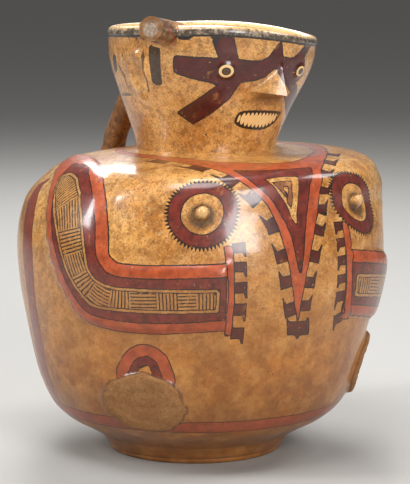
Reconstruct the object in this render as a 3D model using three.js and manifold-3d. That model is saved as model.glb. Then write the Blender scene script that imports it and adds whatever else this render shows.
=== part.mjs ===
// Vase in the shape of a seated figure: one hollow vessel of fired clay, whose neck is
// the head, with a rolled rim, the stub of a broken rod lying over the rim, a round
// handle behind, arms in low relief and two stumps where the legs have broken away.
// Millimetres, +Z up. The origin is the centre of the foot's flat underside, and the
// face looks toward -Y. Angles are in degrees from -Y, positive toward +X.

import * as THREE from "three";
import { mergeVertices } from "three/addons/utils/BufferGeometryUtils.js";
import Module from "manifold-3d";

const wasm = await Module();
wasm.setup();

// Driving dimensions of the body
const bodyHeight = 211; // foot underside to the top of the shoulders
const bellyRadius = 128.3;
const footRadius = 61;
const footHeight = 12;
const footFlare = 7; // how far the foot widens up to the body
const bodyWall = 7;
const floorThickness = 13;
const shoulderSquareness = 12; // one shoulder stands out and the opposite one falls away
const shoulderAngle = 30;

// Driving dimensions of the head, which is the neck of the vessel
const neckRadius = 49;
const headHeight = 76.5; // shoulders to the underside of the rim roll
const browRadius = 71.8;
const headWall = 6.3;

// Rim, a roll of clay laid round the mouth
const rollRadius = 4.3;
const rollProud = 1.1; // how far the roll stands out from the head
const rimDip = 7; // the rim sags over the left brow
const rimDipAngle = 50;

// Lean of the vessel over its foot
const leanAngle = 30.5;
const footLean = 1.5; // low on the body, just above the foot
const bellyLean = 3.7;
const neckLean = 7.4;
const rimLean = 12.9;

// Handle from the shoulders to the back of the head
const handleRadius = 8.9;
const handleFootReach = 107.8; // from the vessel's middle to where the handle stands
const handleKnee = 7.7; // above the shoulder there, where the handle turns down into it
const handleBend = 13; // length of the turn on the way from the head
const handleRoot = 15; // how deep the handle is set into the clay
const handleHeadHeight = 61; // above the shoulders, where it meets the head

// Stub of a broken rod that lies over the rim
const stubRadius = 8.8;
const stubReach = 23; // past the head's brow
const stubTail = 13; // inside the mouth
const stubAngle = -65;
const stubRise = 4; // its broken end stands this much higher than the rim

// Chest, turned a little from the face, with the arms and the broken legs
const chestAngle = -11;
const armRelief = 3.6;
const upperArmWidth = 56;
const forearmWidth = 47.5;
const forearmHeight = 125.5; // of its middle, above the ground
const elbowSpread = 161; // round the body from the chest's middle
const handSpread = 41;
const leftArmLift = 7;
const nippleRadius = 4.5;
const nippleReach = 5;
const nippleHeight = 181;
const nippleSpread = 60;
const stumpWidth = 57;
const stumpHeight = 43;
const stumpRelief = 3.4;
const rightStumpMiddle = 53; // above the ground
const leftStumpMiddle = 60;
const rightStumpAngle = -60;
const leftStumpAngle = 47;

// Face
const noseReach = 17;
const noseWidth = 37;
const noseTop = 65; // these heights are above the shoulders
const noseBottom = 42.5;
const noseAngle = 2;
const eyeHeight = 57.5;
const eyeWidth = 14;
const eyeRelief = 2.2;
const rightEyeAngle = -31.5;
const leftEyeAngle = 21;
const earHeight = 55;
const earAngle = 86;
const earLength = 25;
const earRidge = 2.6;

// Fineness of the solids
const outerColumns = 68;
const cavityColumns = 32;
const bodyRows = 20;
const headRows = 9;
const rollSteps = 5;

const radians = THREE.MathUtils.degToRad;
const { smoothstep, lerp } = THREE.MathUtils;

// Profiles, as pairs of [radius, height]
const shoulderInnerRadius = neckRadius + 4;
const bodyShares = [
  [0.624, 0.09], [0.724, 0.124], [0.809, 0.176], [0.876, 0.266], [0.928, 0.4],
  [0.982, 0.555], [1, 0.692], [0.975, 0.8], [0.898, 0.904], [0.765, 0.965],
];
const bodyCurve = new THREE.SplineCurve([
  new THREE.Vector2(footRadius + footFlare, footHeight),
  ...bodyShares.map(([r, z]) => new THREE.Vector2(r * bellyRadius, z * bodyHeight)),
  new THREE.Vector2(shoulderInnerRadius, bodyHeight),
]);
const bellyAt = (bodyShares.findIndex(([r]) => r === 1) + 1) / (bodyShares.length + 1);

const headCurve = new THREE.SplineCurve(
  [
    [0, 0], [0.06, 0.12], [0.33, 0.333], [0.6, 0.533], [0.82, 0.7], [0.967, 0.86], [1, 1],
  ].map(([out, up]) => new THREE.Vector2(
    lerp(neckRadius, browRadius, out), bodyHeight + up * headHeight)),
);

const rollMiddle = new THREE.Vector2(
  browRadius + rollProud - rollRadius, bodyHeight + headHeight + rollRadius);
const rimTop = rollMiddle.y + rollRadius;

// A curve walked by height: where it is, and which way is out of the clay there
function atHeight(curve, height) {
  let low = 0;
  let high = 1;
  for (let i = 0; i < 24; i += 1) {
    const middle = (low + high) / 2;
    if (curve.getPoint(middle).y < height) low = middle;
    else high = middle;
  }
  return low;
}

function outward(curve, t) {
  const along = curve.getTangent(t);
  return new THREE.Vector2(along.y, -along.x);
}

// Lean of the vessel's middle at a height
const leanPath = [
  [0, 0], [0.06, 0], [0.2, footLean], [0.4, 1.2 * footLean], [0.6, bellyLean],
  [0.84, bellyLean], [1, neckLean], [rimTop / bodyHeight, rimLean],
];

function leanAt(height) {
  const share = height / bodyHeight;
  const next = Math.max(1, leanPath.findIndex(([at]) => at >= share));
  const [from, before] = leanPath[next - 1];
  const [to, after] = leanPath[next];
  return lerp(before, after, Math.min(1, Math.max(0, (share - from) / (to - from))));
}

function fromMiddle(radius, angle, height) {
  const lean = leanAt(Math.min(height, rimTop));
  return new THREE.Vector3(
    radius * Math.sin(radians(angle)) + lean * Math.sin(radians(leanAngle)),
    -radius * Math.cos(radians(angle)) - lean * Math.cos(radians(leanAngle)),
    height,
  );
}

// Carries a point of the upright, perfectly round vessel to its true, uneven place
function settle(radius, angle, height) {
  const shoulder = smoothstep(height, 0.83 * bodyHeight, 0.975 * bodyHeight)
    * smoothstep(radius, shoulderInnerRadius, 0.62 * bellyRadius)
    * (1 - smoothstep(height, bodyHeight, bodyHeight + 0.1 * headHeight));
  const facing = 0.25 + 0.75 * Math.cos(radians(angle - shoulderAngle));
  const standOut = shoulderSquareness * shoulder * facing;
  const side = Math.max(0, Math.cos(radians(angle - rimDipAngle)));
  const dip = rimDip * side ** 2 * smoothstep(height, bodyHeight + 0.3 * headHeight, rimTop);
  const place = fromMiddle(radius + standOut, angle, height);
  place.z += 0.3 * Math.max(0, standOut) - dip;
  return place;
}

// A point over the clay's surface: across and up are millimetres on the surface, out is
// how far it stands from it
function overSurface(curve, middleAngle, across, height, out) {
  const t = atHeight(curve, height);
  const spot = curve.getPoint(t);
  const away = outward(curve, t);
  const angle = middleAngle + THREE.MathUtils.radToDeg(across / spot.x);
  return settle(spot.x + out * away.x, angle, spot.y + out * away.y);
}

// Turns a closed three.js geometry into a solid that can be joined and cut
function toSolid(geometry) {
  const bare = geometry.clone();
  bare.deleteAttribute("normal");
  bare.deleteAttribute("uv");
  const merged = mergeVertices(bare, 1e-3);
  const position = merged.attributes.position;
  const [a, b, c] = [0, 1, 2].map(() => new THREE.Vector3());
  const triangles = [];
  let volume = 0;
  for (let i = 0; i < merged.index.count; i += 3) {
    const corner = [0, 1, 2].map((k) => merged.index.getX(i + k));
    if (new Set(corner).size === 3) {
      [a, b, c].forEach((point, k) => point.fromBufferAttribute(position, corner[k]));
      volume += a.dot(b.cross(c));
      triangles.push(corner);
    }
  }
  if (volume < 0) triangles.forEach((corner) => corner.reverse());
  return new wasm.Manifold(new wasm.Mesh({
    numProp: 3,
    vertProperties: Float32Array.from(position.array),
    triVerts: Uint32Array.from(triangles.flat()),
  }));
}

// Moves every vertex of a geometry by a rule of its old place
function reshape(geometry, rule) {
  const position = geometry.attributes.position;
  const old = new THREE.Vector3();
  for (let i = 0; i < position.count; i += 1) {
    const place = rule(old.fromBufferAttribute(position, i));
    position.setXYZ(i, place.x, place.y, place.z);
  }
  return geometry;
}

function revolved(profile, columns) {
  const turned = new THREE.LatheGeometry(profile, columns).rotateX(Math.PI / 2);
  return toSolid(reshape(turned, ({ x, y, z }) => (
    settle(Math.hypot(x, y), THREE.MathUtils.radToDeg(Math.atan2(x, -y)), z))));
}

// Outside of the vessel, filled, and the hollow that is taken out of it
function vesselOutside() {
  const roll = [];
  for (let i = 0; i <= rollSteps; i += 1) {
    const swing = lerp(-0.2 * Math.PI, Math.PI * 0.9, i / rollSteps);
    roll.push(new THREE.Vector2(
      rollMiddle.x + rollRadius * Math.cos(swing), rollMiddle.y + rollRadius * Math.sin(swing)));
  }
  return revolved([
    new THREE.Vector2(0, 0), new THREE.Vector2(footRadius, 0),
    ...bodyCurve.getPoints(bodyRows), ...headCurve.getPoints(headRows).slice(0, -1),
    ...roll, new THREE.Vector2(0, rollMiddle.y),
  ], outerColumns);
}

function inset(curve, wall, fromHeight, rows) {
  const first = atHeight(curve, fromHeight);
  const points = [];
  for (let i = 0; i <= rows; i += 1) {
    const t = lerp(first, 1, i / rows);
    points.push(curve.getPoint(t).addScaledVector(outward(curve, t), -wall));
  }
  return points;
}

function hollow() {
  const mouthRadius = browRadius - headWall;
  const bodyInside = inset(bodyCurve, bodyWall, floorThickness, 10)
    .filter((spot) => spot.y > floorThickness + 1 && spot.x > neckRadius);
  const headInside = inset(headCurve, headWall, bodyHeight + bodyWall, 4);
  return revolved([
    new THREE.Vector2(0, floorThickness),
    new THREE.Vector2(footRadius - bodyWall, floorThickness),
    ...bodyInside, ...headInside,
    new THREE.Vector2(mouthRadius, rimTop + rollRadius),
    new THREE.Vector2(0, rimTop + rollRadius),
  ], cavityColumns);
}

// A low form that lies on the surface: rule(along 0..1, across -1..1, top) gives a place
function laidOn(stepsAlong, stepsAcross, rule) {
  const box = new THREE.BoxGeometry(1, 1, 1, stepsAlong, stepsAcross, 1);
  return toSolid(reshape(box, ({ x, y, z }) => rule(x + 0.5, 2 * y, z > 0)));
}

const rootDepth = 3; // how deep laid-on forms are set into the wall

function arm(side, lift) {
  const forearm = forearmHeight + lift;
  const bend = upperArmWidth / 2 + 4;
  const shoulder = 0.975 * bodyHeight;
  const down = shoulder - forearm - bend;
  const round = bend * Math.PI / 2;
  const inward = elbowSpread - bend - handSpread;
  const whole = down + round + inward;
  return laidOn(16, 6, (along, edge, top) => {
    const width = lerp(upperArmWidth, forearmWidth, smoothstep(along, 0.35, 0.7)) / 2;
    const walked = along * whole;
    const turned = Math.min(1, Math.max(0, (walked - down) / round)) * Math.PI / 2;
    const middle = new THREE.Vector2(
      elbowSpread - bend + bend * Math.cos(turned) - Math.max(0, walked - down - round),
      forearm + bend - bend * Math.sin(turned) + Math.max(0, down - walked),
    );
    const spread = Math.sign(edge) * Math.abs(edge) ** 0.6 * width;
    const atHand = 1 - 0.12 * smoothstep(along, 0.93, 1);
    const place = middle.add(new THREE.Vector2(
      Math.cos(turned) * spread * atHand, -Math.sin(turned) * spread * atHand));
    const rounded = Math.sqrt(1 - 0.97 * edge ** 4);
    const ends = smoothstep(along, 0, 0.2) * (1 - 0.75 * smoothstep(along, 0.95, 1));
    const out = top ? armRelief * rounded * ends - 0.2 : -rootDepth;
    const height = Math.min(place.y, 0.985 * bodyHeight);
    return overSurface(bodyCurve, chestAngle, side * place.x, height, out);
  });
}

// A stump is a low oval boss with a rough broken face
function stump(angle, middle, seed) {
  const puck = new THREE.LatheGeometry(
    [[0, -1], [1.04, -1], [0.96, 1], [0.66, 1], [0.33, 1], [0, 1]]
      .map(([r, z]) => new THREE.Vector2(r, z)), 22);
  const merged = mergeVertices(puck.deleteAttribute("normal").deleteAttribute("uv"), 1e-3);
  THREE.MathUtils.seededRandom(seed);
  return toSolid(reshape(merged, ({ x, y, z }) => {
    const rough = THREE.MathUtils.seededRandom() - 0.5;
    const out = y > 0 ? stumpRelief * y + rough * 0.9 : -rootDepth;
    const up = middle + z * stumpHeight / 2 + rough * 0.8;
    const across = x * stumpWidth / 2 + rough;
    return overSurface(bodyCurve, angle, across, up, out);
  }));
}

function nose() {
  return laidOn(6, 6, (along, edge, top) => {
    const height = bodyHeight + lerp(noseTop, noseBottom, along);
    const width = lerp(3, noseWidth / 2, along ** 1.35);
    const ridge = (1 - Math.abs(edge)) ** 0.85;
    const reach = noseReach * along ** 1.25 * (1 - 0.1 * smoothstep(along, 0.9, 1));
    const droop = top ? 3 * ridge * smoothstep(along, 0.5, 1) : 0;
    const out = top ? reach * ridge + 0.3 * (1 - Math.abs(edge)) - 0.2 : -rootDepth;
    return overSurface(headCurve, noseAngle, edge * width, height + droop, out);
  });
}

// A rounded knob that sits on the surface, for an eye or a nipple
function knob(curve, angle, across, height, halfWidth, halfHeight, reach) {
  const ball = new THREE.SphereGeometry(1, 12, 6).rotateX(Math.PI / 2);
  return toSolid(reshape(ball, ({ x, y, z }) => (
    overSurface(curve, angle, across + x * halfWidth, height + y * halfHeight, z * reach))));
}

// An ear is a long ridge bent like a C, open toward the face
function ear(side) {
  const ridge = new THREE.CylinderGeometry(earRidge, earRidge, 1, 6, 9);
  return toSolid(reshape(ridge, ({ x, y, z }) => {
    const bend = radians(lerp(-125, 125, y + 0.5));
    const size = earLength / 2 - earRidge + x;
    const across = side * Math.cos(bend) * size * 0.6;
    const height = bodyHeight + earHeight + Math.sin(bend) * size;
    return overSurface(headCurve, side * earAngle, across, height, 0.8 * z);
  }));
}

function betweenPoints(from, to, radius, sides, steps) {
  const rod = new THREE.CylinderGeometry(radius, radius, from.distanceTo(to), sides, steps);
  const turn = new THREE.Quaternion().setFromUnitVectors(
    new THREE.Vector3(0, 1, 0), to.clone().sub(from).normalize());
  return rod.applyQuaternion(turn).translate(...from.clone().add(to).divideScalar(2));
}

// Where the shoulders, from the widest ring in to the neck, have a given radius
function onShoulder(radius) {
  let low = bellyAt;
  let high = 1;
  for (let i = 0; i < 24; i += 1) {
    const middle = (low + high) / 2;
    if (bodyCurve.getPoint(middle).x > radius) low = middle;
    else high = middle;
  }
  return bodyCurve.getPoint(low);
}

// The handle runs straight down from inside the head's wall, then turns into the shoulder
function handle() {
  const shoulder = onShoulder(handleFootReach);
  const foot = settle(shoulder.x, 180, shoulder.y);
  const knee = foot.clone().setZ(foot.z + handleKnee);
  const top = overSurface(headCurve, 180, 0, bodyHeight + handleHeadHeight, 0);
  const upward = top.clone().sub(knee).normalize();
  const turn = knee.clone().addScaledVector(upward, handleBend);
  const path = new THREE.CurvePath();
  path.add(new THREE.LineCurve3(top.addScaledVector(upward, handleRoot), turn));
  path.add(new THREE.QuadraticBezierCurve3(turn, knee, foot.setZ(foot.z - handleRoot)));
  const section = new THREE.Shape().absarc(0, 0, handleRadius, 0, 2 * Math.PI);
  return toSolid(new THREE.ExtrudeGeometry(section, {
    extrudePath: path, steps: 14, curveSegments: 9, bevelEnabled: false,
  }));
}

function stub() {
  const inside = settle(browRadius - headWall - stubTail, stubAngle, rimTop - stubRise);
  const outside = settle(browRadius + stubReach, stubAngle, rimTop);
  outside.z += stubRise / 2;
  return toSolid(betweenPoints(inside, outside, stubRadius, 18, 1));
}

function wholeVase() {
  const forms = [
    handle(), nose(), ear(-1), ear(1), arm(-1, 0), arm(1, leftArmLift),
    stump(rightStumpAngle, rightStumpMiddle, 7), stump(leftStumpAngle, leftStumpMiddle, 12),
  ];
  for (const angle of [rightEyeAngle, leftEyeAngle]) {
    forms.push(knob(headCurve, angle, 0, bodyHeight + eyeHeight,
      eyeWidth / 2, eyeWidth / 2.6, eyeRelief));
  }
  for (const side of [-1, 1]) {
    forms.push(knob(bodyCurve, chestAngle, side * nippleSpread, nippleHeight,
      nippleRadius, nippleRadius, nippleReach));
  }
  const filled = forms.reduce((solid, form) => solid.add(form), vesselOutside());
  return filled.subtract(hollow()).add(stub());
}

function toGeometry(solid) {
  const mesh = solid.getMesh();
  const geometry = new THREE.BufferGeometry();
  geometry.setAttribute("position", new THREE.BufferAttribute(mesh.vertProperties, 3));
  geometry.setIndex(new THREE.BufferAttribute(mesh.triVerts, 1));
  geometry.computeVertexNormals();
  return geometry;
}

const paintedClay = new THREE.MeshStandardMaterial({
  name: "painted_clay", color: 0xcf9f63, roughness: 0.42, metalness: 0,
});

const vase = new THREE.Mesh(toGeometry(wholeVase()), paintedClay);
vase.name = "vase";

const group = new THREE.Group();
group.add(vase);

export default group;
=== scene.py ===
"""Painted clay vase in the shape of a seated figure, on a pale floor under soft lights."""

import math

import bmesh
import bpy
import numpy as np
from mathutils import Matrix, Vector, noise
from mathutils.bvhtree import BVHTree
from mathutils.geometry import barycentric_transform
from mathutils.kdtree import KDTree


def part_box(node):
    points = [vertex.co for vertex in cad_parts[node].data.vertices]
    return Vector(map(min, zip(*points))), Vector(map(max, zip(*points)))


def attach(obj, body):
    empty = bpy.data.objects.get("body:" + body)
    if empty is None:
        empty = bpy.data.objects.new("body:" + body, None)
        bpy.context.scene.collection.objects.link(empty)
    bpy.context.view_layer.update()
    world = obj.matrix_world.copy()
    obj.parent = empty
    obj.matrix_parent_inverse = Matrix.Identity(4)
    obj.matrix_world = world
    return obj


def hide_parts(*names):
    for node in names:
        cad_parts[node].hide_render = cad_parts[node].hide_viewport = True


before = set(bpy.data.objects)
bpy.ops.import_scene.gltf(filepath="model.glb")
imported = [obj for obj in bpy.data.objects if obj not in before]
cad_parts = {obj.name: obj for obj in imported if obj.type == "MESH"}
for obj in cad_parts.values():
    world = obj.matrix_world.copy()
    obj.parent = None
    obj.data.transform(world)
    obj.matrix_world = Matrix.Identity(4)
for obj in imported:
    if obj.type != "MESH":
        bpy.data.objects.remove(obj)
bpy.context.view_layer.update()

# The photograph's view
# The vase is seen from a little above, from its front and the figure's own right side,
# through a long lens held far away.
photo_width, photo_height = 410, 484
view_turn = math.radians(-40)
view_lift = math.radians(8.4)
view_distance = 1.610
focal_pixels = 2300
sensor_side = 36
aim_height = 0.1446
aim_aside = 0.00665

toward = Vector((
    math.sin(view_turn) * math.cos(view_lift),
    -math.cos(view_turn) * math.cos(view_lift),
    math.sin(view_lift),
))
aside = Vector((math.cos(view_turn), math.sin(view_turn), 0))
upward = toward.cross(aside)
eye = Vector((0, 0, aim_height)) + aside * aim_aside + toward * view_distance

bpy.ops.object.camera_add(location=eye, rotation=toward.to_track_quat("Z", "Y").to_euler())
camera = bpy.context.object
camera.name = "photo_camera"
camera.data.sensor_width = sensor_side
camera.data.lens = focal_pixels * sensor_side / photo_height
camera.data.clip_end = 20
bpy.context.scene.camera = camera


def line_of_sight(pixel):
    """The way that one pixel of the photograph looks"""
    across = (pixel[0] - photo_width / 2) / focal_pixels
    down = (pixel[1] - photo_height / 2) / focal_pixels
    return (aside * across - upward * down - toward).normalized()


# The thrown and coiled vessel
# One hollow body of fired clay about 7 mm thick, 30 cm high: foot, round belly, square
# shoulders, and a neck that widens into the head. It is built up in rings and scraped
# smooth, so it leans a little and no ring is quite round.
vase_low, vase_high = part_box("vase")
overall_height = 306.74
mm = (vase_high.z - vase_low.z) / overall_height
body_height = 211
belly_radius = 128.0
foot_radius = 60.7
foot_height = 12
foot_flare = 7
foot_ring = 11
foot_edge = 2.5
foot_hollow, hollow_slope = 1.2, 3
body_wall = 7
floor_thickness = 13
neck_radius = 49
shoulder_inner_radius = neck_radius + 4
head_height = 76.5
brow_radius = 71.6
head_wall = 6.3
roll_radius = 4.3
roll_proud = 1.0
roll_middle = (brow_radius + roll_proud - roll_radius, body_height + head_height + roll_radius)
rim_top = roll_middle[1] + roll_radius
body_shape = (
    (.624, .09), (.724, .124), (.809, .176), (.876, .266), (.928, .4),
    (.982, .555), (1, .692), (.975, .8), (.898, .904), (.765, .965),
)
head_shape = ((0, 0), (.06, .12), (.33, .333), (.6, .533), (.82, .7), (.967, .86), (1, 1))


def flowing(points, closed=False, per_span=12):
    """A smooth curve through points, as many rows of numbers"""
    points = np.asarray(points, float)
    if closed:
        path = np.vstack([points[-1], points, points[:2]])
    else:
        path = np.vstack([points[0], points, points[-1]])
    share = np.linspace(0, 1, per_span, endpoint=False)[:, None]
    spans = []
    for before, start, end, after in zip(path, path[1:], path[2:], path[3:]):
        leave, arrive = (end - before) / 2, (after - start) / 2
        spans.append(
            (2 * start - 2 * end + leave + arrive) * share ** 3
            + (-3 * start + 3 * end - 2 * leave - arrive) * share ** 2
            + leave * share + start)
    return np.vstack(spans if closed else spans + [path[-2:-1]])


def stepped(points, step):
    """The same line with its points set at even steps of about a given length"""
    points = np.asarray(points, float)
    walked = np.append(0, np.cumsum(np.hypot(*np.diff(points, axis=0).T)))
    stops = np.linspace(0, walked[-1], max(2, round(walked[-1] / step) + 1))
    return np.stack([np.interp(stops, walked, points[:, k]) for k in (0, 1)], 1)


def arc(middle, radius, first, last, count):
    swing = np.radians(np.linspace(first, last, count))
    return np.stack([middle[0] + radius * np.cos(swing), middle[1] + radius * np.sin(swing)], 1)


def set_in(points, wall):
    """A line moved into the clay by the thickness of the wall"""
    way = np.gradient(points, axis=0)
    way /= np.hypot(*way.T)[:, None]
    return points + wall * np.stack([-way[:, 1], way[:, 0]], 1)


body_line = flowing(
    [(foot_radius + foot_flare, foot_height)]
    + [(r * belly_radius, z * body_height) for r, z in body_shape]
    + [(shoulder_inner_radius, body_height)])
head_line = flowing([
    (neck_radius + out * (brow_radius - neck_radius), body_height + up * head_height)
    for out, up in head_shape])
inside_body = set_in(body_line, body_wall)
inside_body = inside_body[
    (inside_body[:, 1] > floor_thickness + 1) & (inside_body[:, 0] > neck_radius)]
inside_head = set_in(head_line, head_wall)
inside_head = inside_head[inside_head[:, 1] > body_height + body_wall]
profile_parts = [
    stepped([(0, foot_hollow), (foot_radius - foot_ring - hollow_slope, foot_hollow)], 16),
    stepped([(foot_radius - foot_ring, 0), (foot_radius - foot_edge, 0)], 3),
    arc((foot_radius - foot_edge, foot_edge), foot_edge, -60, 20, 4),
    stepped([(foot_radius + .8, 4), (foot_radius + foot_flare - .9, foot_height - 1.2)], 2.2),
    stepped(body_line, 2.05),
    stepped(head_line[3:-8], 1.15),
    arc(roll_middle, roll_radius, -36, 162, 12),
    stepped(inside_head[::-1], 7),
    stepped(inside_body[::-1], 15),
    stepped([(foot_radius - 8, floor_thickness), (0, floor_thickness)], 16),
]
profile = np.vstack(profile_parts)
part_ends = np.cumsum([len(part) for part in profile_parts])
outer_rows = slice(part_ends[0], part_ends[6])
profile_walk = np.append(0, np.cumsum(np.hypot(*np.diff(profile, axis=0).T)))
profile_way = np.gradient(profile, profile_walk, axis=0)
rim_walk = profile_walk[outer_rows.stop - 1]
lip_walk = profile_walk[part_ends[5]]


def walk_at(height):
    """How far along the outside's profile a height is, from the middle of the foot, in mm"""
    return float(np.interp(height, profile[outer_rows, 1], profile_walk[outer_rows]))


def radius_at(height):
    return np.interp(height, profile[outer_rows, 1], profile[outer_rows, 0])


# The profile is drawn point by point, then spun: in fine steps over the painted front,
# in wide ones over the plain back
front_from, front_turn, front_steps = -140, 258, 290
back_steps = 34


def start_direction(angle):
    """The way out from the axis, turned from the vase's front toward its left, in degrees"""
    return Vector((math.sin(math.radians(angle)), -math.cos(math.radians(angle)), 0))


bpy.ops.object.select_all(action="DESELECT")
bpy.ops.mesh.primitive_plane_add(size=mm)
vase = bpy.context.object
vase.name = vase.data.name = "painted_vase"
bpy.ops.object.mode_set(mode="EDIT")
bpy.ops.mesh.select_all(action="SELECT")
bpy.ops.mesh.merge(type="CENTER")
bpy.ops.transform.translate(value=Vector((0, 0, profile[0][1] * mm)))
for (r0, z0), (r1, z1) in zip(profile, profile[1:]):
    step = start_direction(front_from) * (r1 - r0) + Vector((0, 0, z1 - z0))
    bpy.ops.mesh.extrude_region_move(TRANSFORM_OT_translate={"value": step * mm})
bpy.ops.object.mode_set(mode="OBJECT")
walk_layer = vase.data.attributes.new("walk", "FLOAT", "POINT")
walk_layer.data.foreach_set("value", profile_walk)
bpy.ops.object.mode_set(mode="EDIT")
bpy.ops.mesh.select_all(action="SELECT")
for steps, turn in ((front_steps, front_turn), (back_steps, 360 - front_turn)):
    bpy.ops.mesh.spin(
        steps=steps, angle=math.radians(turn), center=(0, 0, 0), axis=(0, 0, 1))
bpy.ops.mesh.select_all(action="SELECT")
bpy.ops.mesh.remove_doubles(threshold=0.02 * mm)
bpy.ops.mesh.normals_make_consistent(inside=False)

# Where the clay needs a finer net: each place as turn and height, with its reach in mm
chest_turn = -11
nipple_height = 181
nipple_spread = 60
stump_width = 60
stump_height = 43
stumps = ((-58.8, 53), (47, 60))
nipple_radius = 4.6
nipple_reach = 4.9
nipple_net = 7.5
stump_margin = 3
net_depth = 9
nipples = [
    (chest_turn + side * math.degrees(nipple_spread / radius_at(nipple_height)), nipple_height)
    for side in (-1, 1)]


def refine(places, half_width, half_height, cuts):
    """Cuts the faces round some places of the outside into smaller ones"""
    net = bmesh.from_edit_mesh(vase.data)
    for face in net.faces:
        face.select = False
    for turn, height in places:
        outward = start_direction(turn)
        ahead = Vector((-outward.y, outward.x, 0))
        reach = radius_at(height) - net_depth
        for face in net.faces:
            middle = face.calc_center_median() / mm
            near = abs(middle.z - height) < half_height and abs(middle.dot(ahead)) < half_width
            if near and middle.dot(outward) > reach and face.normal.dot(outward) > 0:
                face.select = True
    bmesh.update_edit_mesh(vase.data)
    bpy.ops.mesh.subdivide(number_cuts=cuts)


refine(nipples, nipple_net, nipple_net, 3)
refine(stumps, stump_width / 2 + stump_margin, stump_height / 2 + stump_margin, 1)
bpy.ops.mesh.select_all(action="DESELECT")
bpy.ops.object.mode_set(mode="OBJECT")


def read_points(mesh):
    points = np.empty(len(mesh.vertices) * 3)
    mesh.vertices.foreach_get("co", points)
    return points.reshape(-1, 3) / mm


clay = vase.data
count = len(clay.vertices)
places = read_points(clay)
walk = np.empty(count)
clay.attributes["walk"].data.foreach_get("value", walk)
turn = np.arctan2(places[:, 0], -places[:, 1])
radius = np.interp(walk, profile_walk, profile[:, 0])
height = np.interp(walk, profile_walk, profile[:, 1])
out_flat = np.interp(walk, profile_walk, profile_way[:, 1])
out_up = -np.interp(walk, profile_walk, profile_way[:, 0])
steep = np.hypot(out_flat, out_up)
out_flat, out_up = out_flat / steep, out_up / steep
outside = (walk <= rim_walk) & (walk > profile_walk[outer_rows.start])

# Lean and unevenness of the whole vessel
shoulder_squareness = 12
shoulder_turn = 30
shoulder_from, shoulder_full = .83 * body_height, .975 * body_height
shoulder_outer_radius = .62 * belly_radius
neck_clear = body_height + .1 * head_height
rim_dip = 7
rim_dip_turn = 50
rim_dip_from = body_height + .3 * head_height
rim_rise = 3.8
rim_rise_turn = -45
rim_rise_from = body_height + .5 * head_height
lean_turn = math.radians(30.5)
lean_shares = (0, .06, .2, .4, .6, .84, 1, rim_top / body_height)
lean_by = (0, 0, 1.5, 1.8, 3.7, 3.7, 7.4, 12.9)


def ease(value, low, high):
    """0 below one value and 1 above another, with a smooth way between them"""
    share = np.clip((value - low) / (high - low), 0, 1)
    return share * share * (3 - 2 * share)


def settle(radius, turn, height):
    """Carries points of the upright, round vessel to their true, uneven places"""
    shoulder = (
        ease(height, shoulder_from, shoulder_full)
        * ease(radius, shoulder_inner_radius, shoulder_outer_radius)
        * (1 - ease(height, body_height, neck_clear)))
    facing = .25 + .75 * np.cos(turn - math.radians(shoulder_turn))
    stand_out = shoulder_squareness * shoulder * facing
    side = np.maximum(0, np.cos(turn - math.radians(rim_dip_turn)))
    near = np.maximum(0, np.cos(turn - math.radians(rim_rise_turn)))
    dip = (
        rim_dip * side ** 2 * ease(height, rim_dip_from, rim_top)
        - rim_rise * near ** 2 * ease(height, rim_rise_from, rim_top))
    lean = np.interp(np.minimum(height, rim_top) / body_height, lean_shares, lean_by)
    reach = radius + stand_out
    return np.stack([
        reach * np.sin(turn) + lean * math.sin(lean_turn),
        -reach * np.cos(turn) - lean * math.cos(lean_turn),
        height + .3 * np.maximum(0, stand_out) - dip,
    ], -1)


def knead(points, size, seed):
    """Smooth random unevenness between about -1 and 1, with lumps of a given size in mm"""
    shift = Vector((seed * 7.3, seed * 3.1, seed * 5.7))
    return np.array([noise.noise(Vector(p) / size + shift) for p in points])


round_places = np.stack([radius * np.sin(turn), -radius * np.cos(turn), height], 1)
relief = np.where(
    outside & (height > 6),
    -.35 + .3 * knead(round_places, 60, 1) + .12 * knead(round_places, 17, 2), 0)
raise_by = np.zeros(count)

# The left shoulder is fuller than the right one
left_shoulder_fill = 5.2
fill_turn, fill_turn_spread = 57, 25
fill_height, fill_height_spread = 179, 13
relief += outside * left_shoulder_fill * np.exp(
    -((np.degrees(turn) - fill_turn) / fill_turn_spread) ** 2
    - ((height - fill_height) / fill_height_spread) ** 2)

# The face
# The nose is a wedge of clay pinched out of the brow, flat below; the eyes are low oval
# bosses; each ear is a raised arch of clay round a shallow hollow, open at its front.
nose_reach = 15
nose_width = 37
nose_top = body_height + 65
nose_bottom = body_height + 44.6
nose_turn = math.radians(2)
nose_underside = .22
nose_tip_lift = 2.6
eyes = ((-31.5, body_height + 57.5), (19.8, body_height + 59.2))
eye_half_width, eye_half_height, eye_relief = 7, 5.4, 1.6
ear_turn, ear_height = 86, body_height + 55
ear_half_width, ear_half_height = 7.4, 12.6
ear_relief, ear_hollow = 2.2, 1.3

down_nose = (nose_top - height) / (nose_top - nose_bottom)
kept = np.clip(down_nose, 0, 1)
nose_across = radius * (turn - nose_turn) / np.maximum(3, nose_width / 2 * kept ** 1.35)
ridge = np.maximum(0, 1 - np.abs(nose_across)) * (np.abs(turn - nose_turn) < 1)
under_nose = np.clip((down_nose - 1) / nose_underside, 0, 1)
nose = np.where(outside, nose_reach * kept ** 1.25 * ridge * (1 - under_nose) ** .8, 0)
nose[down_nose < 0] = 0
relief += nose
nose_shade = outside * (
    ease(down_nose, .97, 1.04) * (1 - ease(down_nose, 1.2, 1.7))
    * (1 - ease(np.abs(nose_across), .5, 1.1)))
raise_by += ridge * np.where(
    down_nose > 1, (nose_bottom - height + nose_tip_lift) * (1 - under_nose) ** 2,
    nose_tip_lift * ease(kept, .5, 1)) * outside * (down_nose < 1 + nose_underside)

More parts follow.
